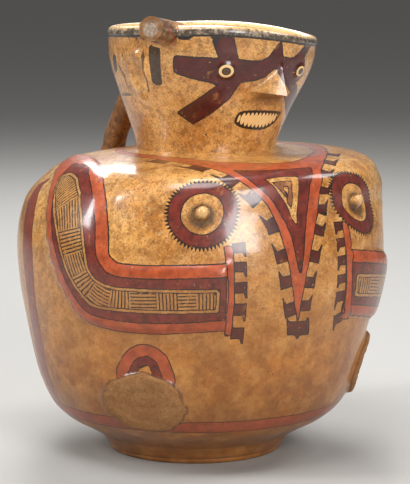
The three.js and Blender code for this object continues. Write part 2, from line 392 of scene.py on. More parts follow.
eye_far = np.full(count, 99.0)
for degrees, middle in eyes:
    across = radius * (turn - math.radians(degrees))
    far = np.hypot(across, (height - middle) * eye_half_width / eye_half_height)
    eye_far = np.minimum(eye_far, far)
relief += outside * eye_relief * np.sqrt(np.maximum(0, 1 - (eye_far / eye_half_width) ** 2))

for side in (-1, 1):
    forward = -side * radius * (turn - math.radians(side * ear_turn))
    far = np.hypot(forward / ear_half_width, (height - ear_height) / ear_half_height)
    open_front = ease(forward, 2, 6) * ease(ear_height - height, -2, 6)
    arch = np.exp(-((far - 1) / .24) ** 2) * (1 - open_front)
    bowl = -ear_hollow * (1 - ease(far, .35, .85))
    relief += outside * (far < 3) * (ear_relief * arch + bowl)

# Nipples and the places where the legs have broken away
# The nipples are small pressed-on knobs; each broken leg leaves a low, rough oval scar of
# bare clay with a crumbled edge.
stump_relief = 3.2
stump_hollow = .9
stump_far = np.full(count, 9.0)
for turn_at, middle in stumps:
    across = radius * (turn - math.radians(turn_at)) / (stump_width / 2)
    up = (height - middle) / (stump_height / 2)
    swing = np.arctan2(up, across)
    ragged = 1 + .035 * np.sin(3 * swing + 1) + .025 * np.sin(7 * swing) + .015 * np.sin(12 * swing)
    stump_far = np.minimum(stump_far, np.hypot(across, up) * ragged)
torn = outside & (stump_far < 1.15)
crumbs = np.zeros(count)
crumbs[torn] = 1.5 * knead(round_places[torn], 9, 3) + .8 * knead(round_places[torn], 3, 4)
scar = 1 - ease(stump_far, .9, 1.03)
relief += scar * (
    stump_relief + crumbs * .55 - stump_hollow * (1 - ease(stump_far, .35, .75)))

for turn_at, middle in nipples:
    across = radius * (turn - math.radians(turn_at))
    far = np.hypot(across, (height - middle) / .93) / nipple_radius
    knob = np.sqrt(np.maximum(0, 1 - far ** 2.6))
    relief += outside * nipple_reach * knob

# The arms
# Two bent arms in low relief, laid on as flat strips of clay and smoothed down at their
# edges. Their outline is found on the clay from where the photograph shows it.
arm_relief = 3.4
arm_slope = 15
hand_over, hand_bluntness = 2, 1.5
left_arm_lift = 2.5
left_arm_stretch = 1.38
left_arm_fall = 20
left_arm_flat_turn, left_arm_flat_spread = math.radians(86), math.radians(17)
arm_inner_side = (
    (57.8, 169), (70.5, 159.6), (85.8, 157), (96, 160.8), (101, 169), (105, 188.3),
    (107.5, 207.4), (108.8, 226.5), (108.8, 247), (112, 258.4), (121.5, 263.5),
    (147, 265.4), (172.6, 265.4), (198, 264.8), (223, 264), (262, 262),
)
arm_outer_side = (
    (262, 329), (222.3, 330.5), (185.3, 333), (153.4, 333.7), (121.5, 331), (102.4, 327.3),
    (87, 321), (76.9, 310.7), (68, 296.7), (59, 277.6), (52.7, 258.4), (48.8, 239.3),
    (47.6, 220), (48.8, 201), (52.7, 181.9),
)
arm_middle = (
    (76, 166), (78, 190), (78.5, 215), (79.5, 240), (84, 262), (93, 282), (107, 294),
    (125, 298.5), (150, 299.3), (190, 298.5), (226, 297.3), (262, 296),
)
hand_end = (226, 297.3)

# Middles of the sleeve's crosswise hatched panels, in mm along the arm
panel_stops = (40.6, 80.2, 105.4, 130.9, 165, 188)
sleeve_outline = (
    (70.5, 176), (62, 180), (57.5, 190), (56.6, 205), (58, 222), (61, 240), (65, 257), (70, 272),
    (78, 287), (86, 297), (93, 304.5), (104, 308.5), (150, 312), (218.5, 311.3), (219.5, 288.2),
    (150, 287.8), (120, 286.2), (107, 283), (96.5, 277), (91, 266), (88.5, 250), (87, 235),
    (85.5, 215), (84, 195), (81, 181), (76, 176.3),
)


def place_clay():
    """Puts every point of the clay where its relief carries it"""
    moved = settle(radius + relief * out_flat, turn, height + relief * out_up + raise_by)
    clay.vertices.foreach_set("co", (moved * mm).ravel())
    clay.update()
    return moved


def chart_of_clay():
    """The outside's triangles, and a tree of them that a line of sight can meet"""
    moved = place_clay() * mm
    clay.calc_loop_triangles()
    corners = np.empty(len(clay.loop_triangles) * 3, np.int32)
    clay.loop_triangles.foreach_get("vertices", corners)
    corners = corners.reshape(-1, 3)
    corners = corners[outside[corners].all(1)]
    tree = BVHTree.FromPolygons(moved.tolist(), corners.tolist())
    return tree, corners, moved, np.stack([turn, walk, walk * 0], 1)


def onto_clay(pixels, chart):
    """Where pixels of the photograph fall on the clay: turn in radians, walk in mm"""
    tree, corners, moved, flat = chart
    found = []
    for pixel in pixels:
        hit, _, index, _ = tree.ray_cast(eye, line_of_sight(pixel))
        if hit is None:
            raise ValueError(f"the clay isn't behind pixel {pixel}")
        trio = corners[index]
        met = barycentric_transform(
            hit, *[Vector(moved[k]) for k in trio], *[Vector(flat[k]) for k in trio])
        found.append((met.x, met.y))
    return np.array(found)


skin = np.flatnonzero(outside)


class Spots:
    """Places on the clay, as turn, walk and the vessel's radius there"""
    def __init__(self, turn, walk):
        self.turn, self.walk = turn, walk
        self.radius = np.interp(walk, profile_walk, profile[:, 0])


everywhere = Spots(turn[skin], walk[skin])


def in_mm(start, end, spots):
    """Steps from the spots to both ends of a stretch, in mm over the clay"""
    return [
        (spots.radius * (point[0] - spots.turn), point[1] - spots.walk) for point in (start, end)]


def inside_outline(outline, spots):
    """How far inside a closed outline each spot is, in mm; outside it is negative"""
    nearest = np.full(len(spots.turn), 1e9)
    within = np.zeros(len(spots.turn), bool)
    for start, end in zip(outline, np.roll(outline, -1, axis=0)):
        (ax, ay), (bx, by) = in_mm(start, end, spots)
        sx, sy = bx - ax, by - ay
        share = np.clip(-(ax * sx + ay * sy) / np.maximum(sx * sx + sy * sy, 1e-9), 0, 1)
        nearest = np.minimum(nearest, np.hypot(ax + share * sx, ay + share * sy))
        crosses = (ay > 0) != (by > 0)
        at = ax - ay * sx / np.where(np.abs(sy) < 1e-9, 1e-9, sy)
        within ^= crosses & (at > 0)
    return np.where(within, nearest, -nearest)


def beside_line(line, spots):
    """How far to the left of a line each spot is, and how far along it, in mm"""
    nearest = np.full(len(spots.turn), 1e9)
    beside = np.zeros(len(spots.turn))
    along = np.zeros(len(spots.turn))
    gone = 0
    for k, (start, end) in enumerate(zip(line, line[1:])):
        middle_radius = np.interp((start[1] + end[1]) / 2, profile_walk, profile[:, 0])
        length = math.hypot(middle_radius * (end[0] - start[0]), end[1] - start[1])
        (ax, ay), (bx, by) = in_mm(start, end, spots)
        sx, sy = bx - ax, by - ay
        raw = -(ax * sx + ay * sy) / np.maximum(sx * sx + sy * sy, 1e-9)
        low = -9 if k == 0 else 0
        high = 9 if k == len(line) - 2 else 1
        share = np.clip(raw, low, high)
        far = np.hypot(ax + share * sx, ay + share * sy)
        closer = far < nearest
        nearest = np.where(closer, far, nearest)
        left = np.where(sx * -ay + sy * ax > 0, 1, -1)
        beside = np.where(closer, far * left, beside)
        along = np.where(closer, gone + share * length, along)
        gone += length
    return beside, along


bare_chart = chart_of_clay()
arm_outline = onto_clay(
    flowing(arm_inner_side + arm_outer_side, closed=True, per_span=3), bare_chart)
sleeve = onto_clay(sleeve_outline, bare_chart)
arm_line = onto_clay(flowing(arm_middle, per_span=4), bare_chart)
hand = Spots(*onto_clay([hand_end], bare_chart).T)
hand_along = beside_line(arm_line, hand)[1][0]
chest = math.radians(chest_turn)


def on_right_arm(spots):
    """Folds the figure's left side onto its right one; the left forearm is longer and sinks"""
    mirrored = 2 * chest - spots.turn
    beyond_hand = np.minimum(0, mirrored - hand.turn)
    shortened = mirrored - beyond_hand * (1 - 1 / left_arm_stretch)
    own_left = spots.turn > chest
    seen_from = np.cos(np.clip(spots.turn - view_turn, 0, math.pi / 2))
    hand_from = np.cos(2 * chest - hand.turn - view_turn)
    sinks = left_arm_fall * np.maximum(0, hand_from - seen_from)
    return Spots(
        np.where(own_left, shortened, spots.turn),
        np.where(own_left, spots.walk - left_arm_lift + sinks, spots.walk))


arm_spots = on_right_arm(everywhere)
arm_inside = inside_outline(arm_outline, arm_spots)
arm_along = beside_line(arm_line, arm_spots)[1]
from_hand = (hand_along + hand_over - arm_along) * hand_bluntness
rise = np.clip(np.minimum(arm_inside, from_hand) / arm_slope, 0, 1)
flattened = np.exp(-((everywhere.turn - left_arm_flat_turn) / left_arm_flat_spread) ** 2)
relief[skin] += (
    arm_relief * np.sqrt(np.maximum(0, 1 - (1 - rise) ** 4)) * (1 - scar[skin]) * (1 - flattened))
painted_chart = chart_of_clay()

# The handle and the broken rod
# A round bar of clay stands on the shoulders behind and meets the back of the head. A
# second bar lay over the rim above the right ear and has snapped off, leaving a rough end.
handle_radius = 8.8
handle_foot_reach, handle_knee, handle_bend, handle_root = 107.8, 7.7, 13, 15
handle_head_height = body_height + 61
handle_spread = 2.2
trim_above = body_height + 30
trim_step, trim_steps = .3, 100
foot_depth = .62 * body_wall
stub_turn = -66
stub_radius = 8.7
stub_reach, stub_tail, stub_rise, stub_sunk = 22.7, 13, 4, 3.1
rod_sides = 40
end_rings, end_ring_share = 5, .17


def one_place(radius, degrees, height):
    """Where one point of the upright, round vessel is on the uneven one"""
    return Vector(settle(np.array(radius), np.array(math.radians(degrees)), np.array(height)))


def add_rod(name, length, thickness, rings):
    """An upright bar of clay, cut into rings so that it can be bent and made uneven"""
    bpy.ops.object.select_all(action="DESELECT")
    bpy.ops.mesh.primitive_cylinder_add(
        vertices=rod_sides, radius=thickness * mm, depth=length * mm)
    rod = bpy.context.object
    rod.name = name
    bpy.ops.object.mode_set(mode="EDIT")
    bpy.ops.mesh.select_all(action="DESELECT")
    net = bmesh.from_edit_mesh(rod.data)
    for edge in net.edges:
        edge.select = abs(edge.verts[0].co.z - edge.verts[1].co.z) > .5 * length * mm
    bmesh.update_edit_mesh(rod.data)
    bpy.ops.mesh.subdivide(number_cuts=rings)
    bpy.ops.mesh.select_mode(type="FACE")
    for _ in range(end_rings):
        net = bmesh.from_edit_mesh(rod.data)
        for face in net.faces:
            face.select = len(face.verts) > 4
        bmesh.update_edit_mesh(rod.data)
        bpy.ops.mesh.inset(thickness=thickness * end_ring_share * mm)
    bpy.ops.mesh.select_mode(type="VERT")
    bpy.ops.object.mode_set(mode="OBJECT")
    return rod


def pick(piece):
    """Selects one piece alone, for the operators that follow"""
    bpy.ops.object.select_all(action="DESELECT")
    piece.select_set(True)
    bpy.context.view_layer.objects.active = piece


def bend_along(points, path):
    """Carries an upright bar's points onto a path that stays in one plane"""
    path = np.asarray(path)
    walked = np.append(0, np.cumsum(np.linalg.norm(np.diff(path, axis=0), axis=1)))
    share = points[:, 2] + walked[-1] / 2
    middle = np.stack([np.interp(share, walked, path[:, k]) for k in range(3)], 1)
    way = np.gradient(path, walked, axis=0)
    way = np.stack([np.interp(share, walked, way[:, k]) for k in range(3)], 1)
    way /= np.linalg.norm(way, axis=1)[:, None]
    aside_way = np.cross(path[0] - path[-2], path[0] - path[-1])
    aside_way /= np.linalg.norm(aside_way)
    return middle + points[:, :1] * aside_way + points[:, 1:2] * np.cross(way, aside_way)


shoulder_row = int(np.argmax(profile[:outer_rows.stop, 0]))
shoulder_part = profile[shoulder_row:shoulder_row + 60]


def shoulder_height_at(reach):
    return np.interp(-reach, -shoulder_part[:, 0], shoulder_part[:, 1])


handle_foot = one_place(handle_foot_reach, 180, shoulder_height_at(handle_foot_reach))
handle_top = one_place(radius_at(handle_head_height), 180, handle_head_height)
knee = handle_foot + Vector((0, 0, handle_knee))
uphill = (handle_top - knee).normalized()
bend_start = knee + uphill * handle_bend
bend_end = handle_foot - Vector((0, 0, handle_root))
shares = np.linspace(0, 1, 12)
handle_path = [handle_top + uphill * handle_root] + [
    bend_start * (1 - t) ** 2 + knee * 2 * t * (1 - t) + bend_end * t ** 2 for t in shares]
handle_length = sum((b - a).length for a, b in zip(handle_path, handle_path[1:]))
handle = add_rod("handle", handle_length, handle_radius, rings=60)
points = read_points(handle.data)
near_end = np.abs(points[:, 2]) / (handle_length / 2)
swell = -.4 + .35 * knead(points, 14, 6) + handle_spread * ease(near_end, .6, .85)
points[:, :2] *= 1 + swell[:, None] / handle_radius
points = bend_along(points, handle_path)

# Each end of the handle stops about halfway into the wall that it meets
for _ in range(trim_steps):
    head_middle = settle(points[:, 2] * 0, points[:, 2] * 0, points[:, 2])
    from_middle = np.hypot(*(points - head_middle)[:, :2].T)
    too_deep = (points[:, 2] > trim_above) & (
        from_middle < radius_at(points[:, 2]) - head_wall / 2)
    points[too_deep] -= np.array(uphill) * trim_step
wall_middle = shoulder_height_at(
    handle_foot_reach + points[:, 1] - handle_foot.y) - foot_depth
at_foot = points[:, 2] < body_height
points[at_foot, 2] = np.maximum(points[:, 2], wall_middle)[at_foot]
handle.data.vertices.foreach_set("co", (points * mm).ravel())

stub_inside = one_place(
    brow_radius - head_wall - stub_tail, stub_turn, rim_top - stub_rise - stub_sunk)
stub_outside = one_place(brow_radius + stub_reach, stub_turn, rim_top - stub_sunk)
stub_outside.z += stub_rise / 2
stub_length = (stub_outside - stub_inside).length
stub = add_rod("stub", stub_length, stub_radius, rings=22)
points = read_points(stub.data)
points[:, :2] *= 1 + (-.3 + .3 * knead(points, 10, 8))[:, None] / stub_radius
broken = 1.7 * knead(points * (1, 1, 0), 5, 9) + .8 * knead(points * (1, 1, 0), 1.8, 10) - 1.4
points[:, 2] += np.sign(points[:, 2]) * broken * (np.abs(points[:, 2]) > stub_length / 2 - .1)
stub.data.vertices.foreach_set("co", (points * mm).ravel())
stub.location = (stub_inside + stub_outside) / 2 * mm
stub.rotation_euler = (stub_outside - stub_inside).to_track_quat("Z", "Y").to_euler()
pick(stub)
bpy.ops.object.transform_apply(location=True, rotation=True, scale=True)

solid_before = read_points(clay)
for rod in (handle, stub):
    pick(vase)
    join = vase.modifiers.new("join", "BOOLEAN")
    join.operation = "UNION"
    join.solver = "MANIFOLD"
    join.object = rod
    bpy.ops.object.modifier_apply(modifier="join")
    bpy.data.objects.remove(rod)
clay = vase.data
places = read_points(clay)
tree = KDTree(len(solid_before))
for index, point in enumerate(solid_before):
    tree.insert(point, index)
tree.balance()
nearest = [tree.find(point)[1:] for point in places]
source = np.array([index for index, _ in nearest])
gap = np.array([far for _, far in nearest])

turn, walk, outside, scar, eye_far, nose_shade = (
    values[source] for values in (turn, walk, outside, scar, eye_far, nose_shade))


def from_bar(start, end):
    """Each point in a bar's own terms, in mm: two ways across it, and along from its start"""
    along = (end - start).normalized()
    across = along.cross(Vector((0, 0, 1))).normalized()
    up = across.cross(along)
    away = places - np.array(start)
    return np.stack([away @ np.array(across), away @ np.array(up), away @ np.array(along)], 1)


stub_terms = from_bar(stub_outside, stub_inside)
off_stub = np.hypot(stub_terms[:, 0], stub_terms[:, 1])
added = gap > .05
on_stub = added & (off_stub < stub_radius + 1.5)
on_handle = added & ~on_stub

# The joints of the bars are smoothed over with wet clay
bpy.ops.object.mode_set(mode="EDIT")
bpy.ops.mesh.select_all(action="DESELECT")
net = bmesh.from_edit_mesh(clay)
joint = set()
for edge in net.edges:
    first, second = (vert.index for vert in edge.verts)
    if added[first] != added[second]:
        joint.update(edge.verts)
for _ in range(2):
    joint.update([edge.other_vert(vert) for vert in list(joint) for edge in vert.link_edges])
for vert in joint:
    vert.select = True
bmesh.update_edit_mesh(clay)
bpy.ops.mesh.vertices_smooth(factor=.5, repeat=5)
bpy.ops.object.mode_set(mode="OBJECT")

# Where the paint lies
# Everything is painted by hand before firing: orange and maroon areas with thin black
# outlines. The outlines are taken from the photograph's view and laid onto the clay; what
# it doesn't show repeats the figure's other side.
skin = np.flatnonzero(outside & ~added)
everywhere = Spots(turn[skin], walk[skin])
own_left = everywhere.turn > chest
folded = Spots(np.where(own_left, 2 * chest - everywhere.turn, everywhere.turn), everywhere.walk)
arm_spots = on_right_arm(everywhere)


def lay_on(pixels):
    return onto_clay(pixels, painted_chart)


def store_whole(name, values):
    """Keeps a value for every point of the clay, for the paint to read"""
    layer = clay.attributes.new(name, "FLOAT", "POINT")
    layer.data.foreach_set("value", np.asarray(values, float))


def store(name, values, elsewhere=-60):
    """Keeps the values of the painted outside, and one value for all the rest"""
    whole = np.full(len(places), float(elsewhere))
    whole[skin] = values
    store_whole(name, whole)


def store_area(name, *outlines, spots=everywhere):
    """Keeps how far each spot is inside any of some outlines drawn on the photograph"""
    store(name, np.maximum.reduce([
        inside_outline(lay_on(outline), spots) for outline in outlines]))


def counted(along, stops, downward):
    """Counts the motifs along a line: whole at the middle of each, and growing downward"""
    stops = np.sort(stops)
    half = np.diff(stops).mean() / 2
    stops = np.concatenate([[stops[0] - half], stops, [stops[-1] + half]])
    index = np.concatenate([[-.5], np.arange(len(stops) - 2), [len(stops) - 2.5]])
    return np.interp(along, stops, index) * (1 if downward else -1)


collar_lower_edge = ((140, 157), (153, 158.5), (175, 161.8), (197, 165.5), (215, 169.4))
v_left_edge = (
    (228, 174.6), (238.5, 180.5), (247.7, 186.4), (258, 194.9), (267.3, 205.3), (273.8, 217),
    (279, 228.9), (283, 242), (286.9, 255), (290, 270.7), (292, 286.4), (294.7, 304.7),
)
v_tip = ((297.3, 321.7), (298.6, 320.3))
v_right_edge = (
    (301.3, 300.7), (305.8, 278.5), (307.1, 270.7), (311, 251), (314.3, 231.5), (317.6, 213.2),
    (319.5, 192.3), (320.6, 170), (323.5, 161), (326.7, 154.4), (326, 150.5),
)
collar_upper_edge = (
    (311, 149.5), (309.7, 154.4), (303.9, 158.3), (293.4, 161.6), (277.7, 163.3), (258, 163.5),
    (234.6, 162.5), (215, 161.6), (193, 158.7), (153, 155), (140, 154),
)
v_field = (
    (232, 170), (254.2, 170.7), (273.8, 170), (293.4, 168.5), (311, 167.4), (309.4, 185.7),
    (307.1, 211.9), (305.2, 231.5), (303.9, 251), (301.9, 272), (300.5, 275.5), (298, 268),
    (294.7, 251), (291.5, 236.7), (286.2, 223.6), (280.3, 213.2), (273.8, 202.7),
    (266, 193.6), (255.5, 185), (245, 177.2),
)
v_window = (
    (264.7, 179.2), (276.4, 177.2), (297.3, 176), (297.6, 226.3), (293.4, 221),
    (288.2, 209.3), (281.6, 197.5), (273.8, 187),
)
v_fret = (
    (271, 182.3), (291.3, 180.6), (292, 210), (287.3, 202.3), (288.4, 186.2), (283.4, 186.4),
    (283.6, 190.4), (286, 192), (285.5, 196.5), (279, 189),
)
v_left_blocks = (
    (160.5, 160.5), (198.8, 168.5), (231.3, 180.6), (252.1, 198), (270, 228), (280.8, 257.3),
    (286, 282), (289.5, 309.5),
)
v_right_blocks = (
    (327, 153.7), (323.4, 161.7), (320.6, 172.7), (319.5, 190.3), (317.8, 208.6),
    (315, 227.6), (310.4, 255.7), (305.8, 282.4), (300.4, 306),
)
v_foot_block = ((287.5, 322.5), (308.6, 321), (308.8, 334.7), (287, 335))
v_foot_ticks = (
    (287, 323.5), (286.3, 316), (289.5, 322), (305.5, 321), (308.8, 314.5), (309, 322),
    (308.8, 334.7), (299, 335), (297.3, 342), (295, 335), (287, 335),
)
collar_and_v = lay_on(
    collar_lower_edge + v_left_edge + v_tip + v_right_edge + collar_upper_edge)
far_end = len(collar_lower_edge + v_left_edge + v_tip + v_right_edge)
whole_turn = (2 * math.pi, 0)
behind = np.array([
    collar_and_v[far_end - 1], collar_and_v[0] + whole_turn, collar_and_v[-1] + whole_turn,
    collar_and_v[far_end]])
from_behind = Spots(np.mod(everywhere.turn, 2 * math.pi), everywhere.walk)
store("band", np.maximum(
    inside_outline(collar_and_v, everywhere), inside_outline(behind, from_behind)))
store_area("field", v_field)
store_area("window", v_window)
store_area("fret", v_fret)
store_area("foot_block", v_foot_block, v_foot_ticks)


def fringe(edge, blocks, upward, past_end=12):
    """Distance out from an edge, and the count of its blocks"""
    line = lay_on(edge)
    out, along = beside_line(line, everywhere)
    stops = beside_line(line, Spots(*lay_on(blocks).T))[1]
    beside_blocks = (along > stops.min() - past_end) & (along < stops.max() + past_end)
    return np.where(beside_blocks, out, -60), counted(along, stops, not upward)


left_out, left_count = fringe(
    v_tip[:1] + v_left_edge[::-1] + collar_lower_edge[::-1], v_left_blocks, True)
right_out, right_count = fringe(v_right_edge[::-1] + v_tip[:0:-1], v_right_blocks, False)
nearer_left = np.abs(left_out) < np.abs(right_out)
store("fringe_out", np.where(nearer_left, left_out, right_out))
store("fringe_count", np.where(
    nearer_left, left_count + len(v_right_blocks) - 1, right_count), 0)

right_bar_inner = ((223.5, 246), (226, 262), (228.5, 285), (228.5, 300), (226, 318), (224.5, 336))
right_bar_outer = ((231, 336), (233, 318), (234.5, 300), (234.5, 285), (234, 262), (233, 246.5))
left_bar_outer = (
    (341.5, 319), (343.8, 305), (345.8, 290), (346.3, 275), (345.5, 250), (344, 235), (341.7, 221))
left_bar_inner = (
    (346.5, 221.5), (349.7, 232), (351.5, 245), (352.3, 262), (352.3, 285), (350.8, 305),
    (348.5, 319))
right_fingers = ((232, 249.1), (232, 267), (232, 288.3), (232, 309.5), (232, 334))
left_fingers = (
    (342, 317), (343, 294.5), (344, 278.5), (344.5, 260), (344, 241.5), (342.5, 226))
store_area("bar", right_bar_inner + right_bar_outer, left_bar_outer + left_bar_inner)
right_out, right_count = fringe(right_bar_outer[::-1], right_fingers, False)
left_out, left_count = fringe(left_bar_outer, left_fingers, True)
store("finger_out", np.where(own_left, left_out, right_out))
store("finger_count", np.where(own_left, left_count, right_count), 0)

store("arm", inside_outline(arm_outline, arm_spots))
store("sleeve", inside_outline(sleeve, arm_spots))
arm_beside, arm_along = beside_line(arm_line, arm_spots)
store("arm_beside", arm_beside)
store("arm_along", arm_along, 500)
store("panel", np.interp(arm_along, panel_stops, range(len(panel_stops))), 0)

breast_slant = .5
nipple_up = folded.walk - walk_at(nipple_height)
nipple_across = folded.radius * (folded.turn - math.radians(nipples[0][0]))
store("breast_across", nipple_across - own_left * breast_slant * nipple_up, 99)
store("breast_up", nipple_up, 99)

leg_arch = (
    (116.2, 373.5), (119, 363.7), (124.6, 353.1), (133, 346.8), (144.3, 344), (156.9, 348.2),
    (166.7, 356.6), (171.6, 368.6), (175.1, 381.9), (168, 402), (147, 410), (124, 396),
)
left_leg_aside = 12
leg_rise = walk_at(stumps[1][1]) - walk_at(stumps[0][1])
leg_mirror = math.radians(stumps[0][0] + stumps[1][0] + left_leg_aside)
stump_mirror = Spots(
    np.where(own_left, leg_mirror - everywhere.turn, everywhere.turn),
    everywhere.walk - own_left * leg_rise)
store_area("leg", flowing(leg_arch, closed=True, per_span=2), spots=stump_mirror)

side_band = (
    (56.6, 170.3), (42.7, 185), (36.3, 203.6), (33, 224), (32.6, 253.5), (34.4, 290.5),
    (38, 316), (42.7, 344), (47.3, 368), (54.7, 390), (63, 405), (59.4, 403.2), (50, 388.4),
    (40.9, 368), (35.3, 344), (31.6, 323.7), (28, 298), (24.2, 268.3), (23.3, 238.7),
    (26, 211), (38, 185),
)
store_area("side_band", side_band, spots=folded)

cheek_bar = (
    (240.2, 82.8), (230, 97.9), (216.5, 109.5), (206.8, 116.3), (193.2, 124), (176.7, 112.9),
    (197.1, 99.8), (218.4, 84.8),
)
mask = (
    (173.3, 55.4), (197.1, 57.6), (219.4, 58.4), (214.5, 46.5), (210.2, 38.2), (209.8, 36),
    (233.4, 36), (233.9, 38.2), (235.9, 49.4), (238.8, 59.6), (251.4, 61), (262, 61),
    (268.8, 57.1), (274.6, 49.4), (282.4, 39.7), (282.9, 57.1), (292.6, 58.1), (300.8, 51.8),
    (306.6, 42.6), (308.6, 39.2), (313.4, 39.7), (307.6, 51.3), (303.7, 58.1), (304.7, 60),
    (302.3, 75.6), (294, 84.3), (292.5, 90.1), (289.2, 91), (284.8, 83.5), (280.4, 76.5),
    (276.6, 68), (272, 70.5), (264.9, 77.5), (253.3, 80.9), (240.2, 82.3), *cheek_bar,
    (206.8, 81.9), (192.2, 78.5), (173.8, 72.7),
)
mouth = (
    (234.9, 120.1), (239.7, 112.4), (250.4, 110.9), (264.9, 110.9), (279.5, 111.9),
    (279.5, 114.3), (274.6, 122.1), (264.9, 128.4), (255.2, 129.4), (243.6, 127.9), (235.9, 124),
)
face_middle = math.radians((eyes[0][0] + eyes[1][0]) / 2)
far_cheek = lay_on(cheek_bar)
far_cheek[:, 0] = 2 * face_middle - far_cheek[:, 0]
store("mask", np.maximum(
    inside_outline(lay_on(mask), everywhere), inside_outline(far_cheek, everywhere)))
mouth_on_clay = lay_on(flowing(mouth, closed=True, per_span=2))
store("mouth", inside_outline(mouth_on_clay, everywhere))
mouth_turn = mouth_on_clay[:, 0].mean()
store("mouth_across", everywhere.radius * (everywhere.turn - mouth_turn), 99)
store("eye", eye_far[skin], 99)
store("nose_shade", nose_shade[skin], 0)

hair_panel = ((148.5, 46), (152.5, 84), (162.5, 86), (160.5, 46))
hair_wedge = ((113, 53), (112.8, 62), (115.5, 75), (117.5, 70), (116, 56))
ear_back_line = (
    (122, 94.5), (130.8, 94.5), (127, 84), (123.5, 73.7), (117.6, 63), (116.8, 47),
    (118.8, 38.5),
)
ear_arch_line = (
    (122.5, 56), (121, 46), (123.5, 38.5), (129, 35.5), (136, 36), (141, 40), (141.8, 46))
ear_front_line = ((141.8, 46), (143.3, 59), (145.5, 76.6), (149.5, 91))


def open_line(pixels):
    """A line there and back again, so that it closes round nothing"""
    return pixels + pixels[-2:0:-1]


ear_spots = Spots(-np.abs(everywhere.turn), everywhere.walk)
store_area("hair", hair_panel, hair_wedge, spots=ear_spots)
store_area(
    "ear_lines", open_line(ear_back_line), open_line(ear_arch_line),
    open_line(ear_front_line), spots=ear_spots)

store("scar", scar[skin], 0)
store_whole("walk_now", walk)
store_whole("on_stub", on_stub)
store_whole("on_handle", on_handle)
for name, values in zip(("stub_across", "stub_up", "stub_along"), stub_terms.T):
    store_whole(name, values)

# The slip, the paint and the wear
# Cream slip rubbed to a soft gloss with a pebble, mineral orange, maroon and black, then
# centuries of staining, scratches, black specks and small losses, with some shade and
# highlights painted in as well.
finish = bpy.data.materials.new("painted_clay")
finish.use_nodes = True
paint_tree = finish.node_tree
shader = paint_tree.nodes["Principled BSDF"]


class Wire:
    """A value or a colour on its way through the paint"""
    def __init__(self, socket):
        self.socket = socket

    def math(self, operation, *others, clamp=False):
        settings = {"operation": operation, "use_clamp": clamp}
        return node("ShaderNodeMath", settings, dict(enumerate((self, *others))))

    def __add__(self, other):
        return self.math("ADD", other)

    def __mul__(self, other):
        return self.math("MULTIPLY", other)

    def __sub__(self, other):
        return self.math("SUBTRACT", other)

    def __rsub__(self, other):
        return self * -1 + other

    def __truediv__(self, other):
        return self.math("DIVIDE", other)

    def __abs__(self):
        return self.math("ABSOLUTE")

    __radd__ = __add__
    __rmul__ = __mul__

    def least(self, other):
        return self.math("MINIMUM", other)

    def most(self, other):
        return self.math("MAXIMUM", other)


def node(kind, settings, values, output=0):
    """Adds one node: its settings, then the values or wires of its sockets"""
    made = paint_tree.nodes.new(kind)
    for name, value in settings.items():
        setattr(made, name, value)
    for name, value in values.items():
        if isinstance(value, Wire):
            paint_tree.links.new(value.socket, made.inputs[name])
        else:
            made.inputs[name].default_value = value
    return Wire(made.outputs[output])


def read(name):
    return node("ShaderNodeAttribute", {"attribute_name": name}, {}, "Fac")


def colour(red, green, blue):
    """A colour read off a screen, as the shader wants it"""
    shares = [value / 255 for value in (red, green, blue)]
    return [s / 12.92 if s < .04045 else ((s + .055) / 1.055) ** 2.4 for s in shares] + [1]


def blend(under, over, share):
    """One colour over another; 6, 7 and 2 are the Mix node's sockets for colours"""
    return node(
        "ShaderNodeMix", {"data_type": "RGBA"}, {0: share, 6: under, 7: over}, 2)


spot = node("ShaderNodeTexCoord", {}, {}, "Object")


def grain(size, detail, rough, shift=0):
    """Cloudy variation between about 0 and 1, with lumps of a given size in mm"""
    scaled = node(
        "ShaderNodeMapping", {}, {
            "Vector": spot, "Scale": [1 / (size * mm)] * 3,
            "Location": (shift, shift * 1.7, -shift)})
    return node(
        "ShaderNodeTexNoise", {}, {
            "Vector": scaled, "Scale": 1, "Detail": detail, "Roughness": rough}, "Fac")


def above(value, edge, soft):
    """0 where a value is below an edge and 1 above it"""
    return ((value - edge) / soft + .5).math("ADD", 0, clamp=True)


def patches(size, detail, rough, shift, edge, soft):
    """Ragged patches: 1 where the grain is above an edge; shift gives each its own place"""
    return above(grain(size, detail, rough, shift=shift), edge, soft)


tremble = (grain(6, 2, .6) - .5) * 1.1


def within(distance, edge=0):
    """1 inside an edge that a brush drew by hand, and 0 outside it"""
    return above(distance + tremble, edge, .25)


def stroke(distance, at, half):
    """A thin brush line that follows the edge of an area"""
    return above(half - abs(distance + tremble - at), 0, .2)


cream, gold, pale = colour(214, 156, 84), colour(186, 120, 50), colour(232, 190, 128)
stain, soot = colour(112, 66, 28), colour(34, 24, 18)
orange, deep_orange = colour(180, 82, 44), colour(138, 58, 30)
maroon, deep_maroon = colour(116, 42, 30), colour(66, 24, 18)
mask_red, deep_mask_red = colour(82, 20, 12), colour(56, 14, 8)
buff = colour(178, 132, 86)
dull_buff = colour(132, 92, 54)
dark_iris = colour(88, 62, 30)
amber = colour(178, 100, 22)

